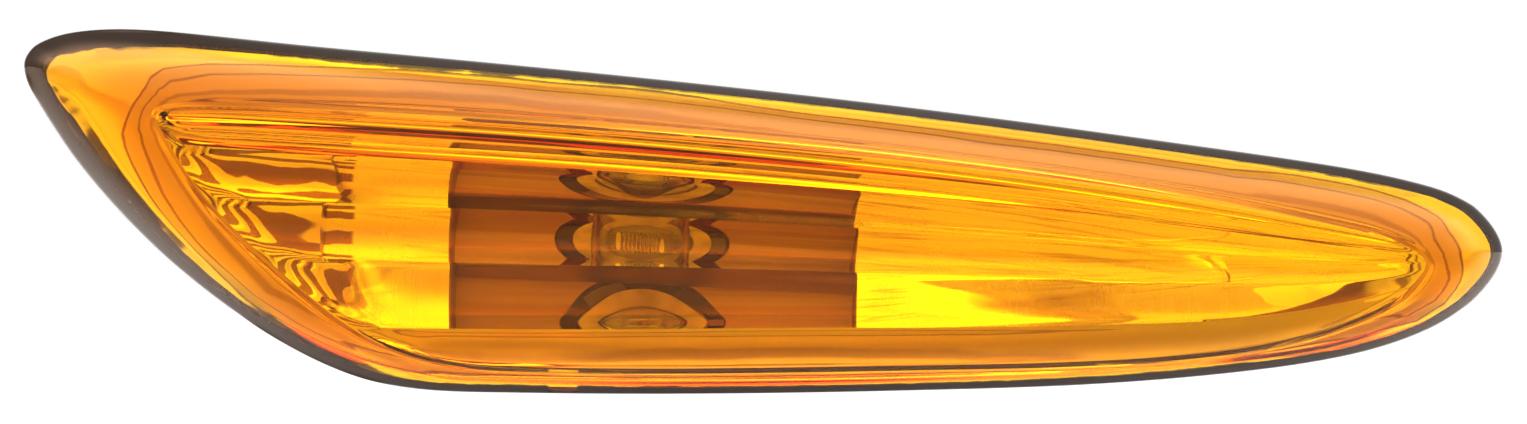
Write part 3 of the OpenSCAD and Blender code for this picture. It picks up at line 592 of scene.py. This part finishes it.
def makeFoam():
    look = foamLook
    mat, tree, shader = newMaterial("foamRubber")
    cells = tree.nodes.new("ShaderNodeTexVoronoi")
    cells.inputs["Scale"].default_value = look["cellScale"]
    tree.links.new(objectCoord(tree), cells.inputs["Vector"])
    wall = rangeNode(tree, cells.outputs["Distance"], *look["cell"])
    tree.links.new(mixColor(tree, wall, *look["colors"]), shader.inputs["Base Color"])
    shader.inputs["Roughness"].default_value = look["rough"]
    shader.inputs["Specular IOR Level"].default_value = look["sheen"]
    addBump(tree, shader, wall, look["bump"], look["bumpHeight"])
    return mat


# colour, tarnish, lowest and highest roughness, and how the drawn lines are stretched
metalLook = {
    "springSteel": ((0.40, 0.40, 0.40), (0.27, 0.26, 0.245), 0.24, 0.4, (1.0, 1.0, 0.05)),
    "contactBrass": ((0.75, 0.56, 0.25), (0.5, 0.34, 0.15), 0.2, 0.36, (1.0, 0.05, 1.0)),
    "leadWire": ((0.62, 0.60, 0.56), (0.4, 0.36, 0.3), 0.25, 0.4, (1.0, 0.05, 1.0)),
    "tungsten": ((0.34, 0.33, 0.32), (0.22, 0.21, 0.2), 0.3, 0.45, (0.3, 1.0, 1.0)),
}
metalLines = {"scale": 1800.0, "bump": 0.2, "bumpHeight": 0.01 * mm}
metalPatch = {"scale": 220.0, "edge": (0.42, 0.7)}


def makeMetal(name):
    color, tarnish, low, high, stretch = metalLook[name]
    mat, tree, shader = newMaterial(name)
    shader.inputs["Metallic"].default_value = 1.0
    coord = objectCoord(tree)
    lines = noiseNode(tree, stretched(tree, coord, stretch), metalLines["scale"], 3.0, 0.6)
    patch = noiseNode(tree, coord, metalPatch["scale"], 3.0, 0.6)
    patch = rangeNode(tree, patch, *metalPatch["edge"])
    tree.links.new(mixColor(tree, patch, color, tarnish), shader.inputs["Base Color"])
    rough = rangeNode(tree, lines, *noiseSpan, low, high)
    tree.links.new(rough, shader.inputs["Roughness"])
    addBump(tree, shader, lines, metalLines["bump"], metalLines["bumpHeight"])
    return mat


glassLook = {
    "ior": 1.5,
    "mistScale": 200.0,
    "mist": (0.4, 0.8, 0.0, 0.03),
    "bumpScale": 160.0,
    "bump": 0.15,
    "bumpHeight": 0.03 * mm,
}


def makeClearGlass():
    look = glassLook
    mat, tree, shader = newMaterial("bulbGlass")
    shader.inputs["Base Color"].default_value = (1.0, 1.0, 1.0, 1.0)
    shader.inputs["Transmission Weight"].default_value = 1.0
    shader.inputs["IOR"].default_value = look["ior"]
    coord = objectCoord(tree)
    mist = rangeNode(tree, noiseNode(tree, coord, look["mistScale"], 2.0), *look["mist"])
    tree.links.new(mist, shader.inputs["Roughness"])
    waves = noiseNode(tree, coord, look["bumpScale"], 2.0)
    addBump(tree, shader, waves, look["bump"], look["bumpHeight"])
    return mat


amber = makeAmber()
weldBlack = makePlastic("weldBlack")
metallised = makeMetallised()
metallisedFrame = makeFrameCoat()
blackPlastic = makePlastic("blackPlastic")
holderPlastic = makePlastic("holderPlastic", filmLook)
siliconeRed = makePlastic("siliconeRed")
foamRubber = makeFoam()
springSteel = makeMetal("springSteel")
contactBrass = makeMetal("contactBrass")
leadWire = makeMetal("leadWire")
tungsten = makeMetal("tungsten")
bulbGlass = makeClearGlass()
print("materials made:", len(bpy.data.materials))

# lens: the CAD skin, its quads joined again and rounded off
lensLook = {
    "crease": math.radians(36),
    "creaseValue": 0.9,
    "levels": 2,
    "smooth": math.radians(50),
    # the weld's melt covers what lies behind this depth
    "weldY": -3.75 * mm,
    # a point whose normal has less Y than this is on the outer face
    "outward": 0.35,
}


def makeLens():
    piece = copyOfNode("lens", "lensSkin")
    editAll(piece)
    bpy.ops.mesh.select_all(action="DESELECT")
    bpy.ops.mesh.select_mode(type="EDGE")
    toObject()
    # each quad came as two triangles in a row, so their shared edge is a diagonal
    faces = piece.data.polygons
    diagonals = set()
    for k in range(0, len(faces) - 1, 2):
        shared = sorted(set(faces[k].vertices) & set(faces[k + 1].vertices))
        if len(shared) == 2:
            diagonals.add(tuple(shared))
    for edge in piece.data.edges:
        edge.select = tuple(sorted(edge.vertices)) in diagonals
    bpy.ops.object.mode_set(mode="EDIT")
    bpy.ops.mesh.dissolve_edges(use_verts=False, use_face_split=False)
    bpy.ops.mesh.select_all(action="DESELECT")
    bpy.ops.mesh.edges_select_sharp(sharpness=lensLook["crease"])
    bpy.ops.transform.edge_crease(value=lensLook["creaseValue"])
    toObject()
    sub = piece.modifiers.new("round", "SUBSURF")
    sub.levels = lensLook["levels"]
    sub.render_levels = lensLook["levels"]
    applyAll(piece)
    bpy.ops.object.shade_smooth_by_angle(angle=lensLook["smooth"])
    return piece


lensSkin = makeLens()
finishPiece(lensSkin, "lamp", amber, ["lens"])
# black melt of the weld covers the side and the underside of the foot
lensSkin.data.materials.append(weldBlack)
for face in lensSkin.data.polygons:
    face.material_index = 1 if face.center.y > lensLook["weldY"] else 0
outerFace = lensSkin.data.attributes.new("outerFace", "FLOAT", "POINT")
for point in lensSkin.data.vertices:
    outerFace.data[point.index].value = 1.0 if point.normal.y < lensLook["outward"] else 0.0
print("lens:", len(lensSkin.data.polygons), "faces")

# reflector: the CAD shell, shaded smooth, with its frame marked
mirrorLook = {
    "smooth": math.radians(28),
    # the frame's faces lie ahead of frameY and look forward, the window's walls lie
    # behind wallY and look sideways
    "frameY": -2.6 * mm,
    "frameNormal": -0.15,
    "wallY": -2.7 * mm,
    "wallNormal": 0.6,
}


def makeReflector():
    piece = copyOfNode("reflector", "mirrorShell")
    pick(piece)
    bpy.ops.object.shade_smooth_by_angle(angle=mirrorLook["smooth"])
    return piece


# gives the frame its own material and stores each point's distance from the window
def markFrame(piece):
    mesh = piece.data
    look = mirrorLook
    frameFaces = [f for f in mesh.polygons
                  if f.center.y < look["frameY"] and f.normal.y < look["frameNormal"]]
    walls = [f for f in mesh.polygons
             if f.center.y > look["wallY"] and abs(f.normal.y) < look["wallNormal"]]
    wallEdges = {key for f in walls for key in f.edge_keys}
    rim = [key for f in frameFaces for key in f.edge_keys if key in wallEdges]
    rim = [(mesh.vertices[a].co, mesh.vertices[b].co) for a, b in rim]
    away = mesh.attributes.new("fromWindow", "FLOAT", "POINT")
    for index in {v for f in frameFaces for v in f.vertices}:
        co = mesh.vertices[index].co
        gaps = []
        for a, b in rim:
            near, share = intersect_point_line(co, a, b)
            near = a if share < 0 else b if share > 1 else near
            gaps.append((co - near).length)
        away.data[index].value = min(gaps)
    for f in frameFaces:
        f.material_index = 1
    return len(frameFaces)


mirrorShell = makeReflector()
finishPiece(mirrorShell, "lamp", metallised, ["reflector"])
mirrorShell.data.materials.append(metallisedFrame)
print("reflector:", markFrame(mirrorShell), "frame faces")

# CAD nodes that stay, with their finishes
nodeFinish = {
    "housing": blackPlastic,
    "seal": foamRubber,
    "clip": springSteel,
    "holder": holderPlastic,
    "ring": siliconeRed,
    "terminal_upper": contactBrass,
    "terminal_lower": contactBrass,
    "glass": bulbGlass,
    "lead_nose": leadWire,
    "lead_tail": leadWire,
    "filament": tungsten,
}
for nodeName, material in nodeFinish.items():
    dressNode(nodeName, material)
print("CAD nodes dressed")

# marks of the mould on the back of the housing
markLook = {
    "sides": 48,
    # how far each mark reaches into the wall
    "root": 0.1 * mm,
    "smooth": math.radians(40),
    "pinRadius": 1.7 * mm,
    "ringWidth": 0.22 * mm,
    "proud": 0.1 * mm,
    "sunk": 0.08 * mm,
    "gateRadius": 1.1 * mm,
    "gateHeight": 0.5 * mm,
    "gateRim": 0.3 * mm,
    "gateSunk": 0.15 * mm,
    "gateRound": 0.06 * mm,
    # x and z of each ejector pin and of the gate, and how far back their face is, in mm
    "pins": [(28, 3, 9.2), (45, 2, 9.2), (62, 1, 9.2), (74, 1, 9.2),
             (-29, 6, 9.2), (-41, 14, 9.2),
             (-15, -8, 16.4), (-15, 7, 16.4), (18, -9, 16.4), (18, 7, 16.4)],
    "gate": (36, -4, 9.2),
}


def makeRound(place, radius, height):
    x, z, y = place
    root = markLook["root"]
    deselectAll()
    bpy.ops.mesh.primitive_cylinder_add(
        vertices=markLook["sides"], radius=radius, depth=height + root,
        location=(x * mm, y * mm + height / 2 - root / 2, z * mm),
        rotation=(math.radians(-90), 0.0, 0.0))
    piece = bpy.context.object
    setPlace(piece)
    return piece


def selectCap(piece):
    top = max(f.center.y for f in piece.data.polygons)
    editAll(piece)
    bpy.ops.mesh.select_all(action="DESELECT")
    bpy.ops.mesh.select_mode(type="FACE")
    toObject()
    for face in piece.data.polygons:
        face.select = face.center.y > top - 0.001 * mm
    bpy.ops.object.mode_set(mode="EDIT")


def makeMarks():
    parts = []
    for place in markLook["pins"]:
        pin = makeRound(place, markLook["pinRadius"], markLook["proud"])
        selectCap(pin)
        bpy.ops.mesh.inset(thickness=markLook["ringWidth"], depth=0.0)
        bpy.ops.transform.translate(value=(0.0, -markLook["sunk"], 0.0))
        toObject()
        parts.append(pin)
    stub = makeRound(markLook["gate"], markLook["gateRadius"], markLook["gateHeight"])
    selectCap(stub)
    bpy.ops.mesh.inset(thickness=markLook["gateRim"], depth=-markLook["gateSunk"])
    bpy.ops.mesh.bevel(offset=markLook["gateRound"], segments=2)
    toObject()
    deselectAll()
    for part in parts:
        part.select_set(True)
    stub.select_set(True)
    bpy.context.view_layer.objects.active = stub
    bpy.ops.object.join()
    piece = bpy.context.object
    piece.name = "mouldMarks"
    piece.data.name = "mouldMarks"
    setPlace(piece)
    bpy.ops.object.shade_smooth_by_angle(angle=markLook["smooth"])
    return piece


mouldMarks = makeMarks()
finishPiece(mouldMarks, "lamp", blackPlastic)
print("mould marks:", len(mouldMarks.data.polygons), "faces")

# floor, light and camera
floorLook = {
    "height": -24.0 * mm,
    "size": 3.0,
    "speckScale": 40.0,
    "pale": ((0.86, 0.86, 0.86), (0.88, 0.88, 0.88)),
    "card": (-25.0 * mm, 12.0 * mm),
    "cardColor": (0.45, 0.45, 0.45),
    "rough": 0.8,
    "glow": 0.85,
}


def makeFloor():
    look = floorLook
    bpy.ops.mesh.primitive_plane_add(size=look["size"], location=(0.0, 0.0, look["height"]))
    floor = bpy.context.object
    floor.name = "floor"
    setPlace(floor)
    mat, tree, shader = newMaterial("paleFloor")
    coord = objectCoord(tree)
    pale = mixColor(tree, noiseNode(tree, coord, look["speckScale"]), *look["pale"])
    # towards the viewer, where the picture doesn't show it, the floor is a darker card
    near = rangeNode(tree, splitAxes(tree, coord)["Y"], *look["card"], 1.0, 0.0)
    tree.links.new(mixColor(tree, near, pale, look["cardColor"]), shader.inputs["Base Color"])
    shader.inputs["Roughness"].default_value = look["rough"]
    # seen by the camera, it glows to white and keeps a part of the shadow
    glow = tree.nodes.new("ShaderNodeEmission")
    blend = tree.nodes.new("ShaderNodeMixShader")
    path = tree.nodes.new("ShaderNodeLightPath")
    tree.links.new(times(tree, path.outputs["Is Camera Ray"], look["glow"]), blend.inputs["Fac"])
    tree.links.new(shader.outputs["BSDF"], blend.inputs[1])
    tree.links.new(glow.outputs["Emission"], blend.inputs[2])
    tree.links.new(blend.outputs["Shader"], tree.nodes["Material Output"].inputs["Surface"])
    floor.data.materials.append(mat)


roomLook = {
    # strength by height of the direction, 0 straight down and 1 straight up
    "sky": [(0.0, 0.78), (0.3, 0.78), (0.46, 0.82), (0.54, 1.1), (0.65, 1.95), (0.8, 3.7),
            (1.0, 7.0)],
    # the ramp holds the strengths divided by this
    "scale": 8.0,
    # where the sides begin, and their strength against the front
    "side": (0.35, 0.8),
    "sideLevel": 1.35,
    # behind the lamp the room is plain white
    "behind": (-0.15, 0.25),
}


def makeWorld():
    look = roomLook
    scale = look["scale"]
    world = bpy.data.worlds.new("softRoom")
    bpy.context.scene.world = world
    world.use_nodes = True
    tree = world.node_tree
    coord = tree.nodes.new("ShaderNodeTexCoord")
    axes = splitAxes(tree, coord.outputs["Generated"])
    # one wide soft source above the lamp that fades to a bright room in front and below
    ramp = tree.nodes.new("ShaderNodeValToRGB")
    ramp.color_ramp.interpolation = "EASE"
    level = add(tree, times(tree, axes["Z"], 0.5), 0.5)
    tree.links.new(level, ramp.inputs["Fac"])
    for i, (at, value) in enumerate(look["sky"]):
        if i < 2:
            stop = ramp.color_ramp.elements[i]
            stop.position = at
        else:
            stop = ramp.color_ramp.elements.new(at)
        stop.color = (value / scale, value / scale, value / scale, 1.0)
    aside = mathNode(tree, "ABSOLUTE", axes["X"])
    aside = rangeNode(tree, aside, *look["side"], scale, scale * look["sideLevel"])
    room = times(tree, ramp.outputs["Color"], aside)
    room = mixValue(tree, rangeNode(tree, axes["Y"], *look["behind"]), room, 1.0)
    # the camera sees white
    path = tree.nodes.new("ShaderNodeLightPath")
    room = mixValue(tree, path.outputs["Is Camera Ray"], room, 1.0)
    back = tree.nodes["Background"]
    tree.links.new(room, back.inputs["Strength"])
    back.inputs["Color"].default_value = (1.0, 1.0, 1.0, 1.0)


cameraLook = {
    "sensor": 36.0,
    "lens": 200.0,
    "clip": (0.01, 20.0),
    # the photo's width and the lamp's length in it, in pixels, and the real length in mm
    "photoWidth": 1527,
    "lampPixels": 1478,
    "lampLength": 150.0,
    # what the middle of the picture looks at
    "aimX": 12.53 * mm,
    "aimY": -3.0 * mm,
    "aimZ": 2.84 * mm,
}


def makeCamera():
    look = cameraLook
    data = bpy.data.cameras.new("frontCamera")
    data.sensor_width = look["sensor"]
    data.lens = look["lens"]
    data.clip_start, data.clip_end = look["clip"]
    camera = bpy.data.objects.new("frontCamera", data)
    bpy.context.scene.collection.objects.link(camera)
    width = look["photoWidth"] * look["lampLength"] / look["lampPixels"] * mm
    away = data.lens / data.sensor_width * width
    camera.location = (look["aimX"], look["aimY"] - away, look["aimZ"])
    camera.rotation_euler = (math.radians(90), 0.0, 0.0)
    bpy.context.scene.camera = camera


makeFloor()
makeWorld()
makeCamera()
bpy.context.scene.view_settings.view_transform = "Standard"
print("stage set")
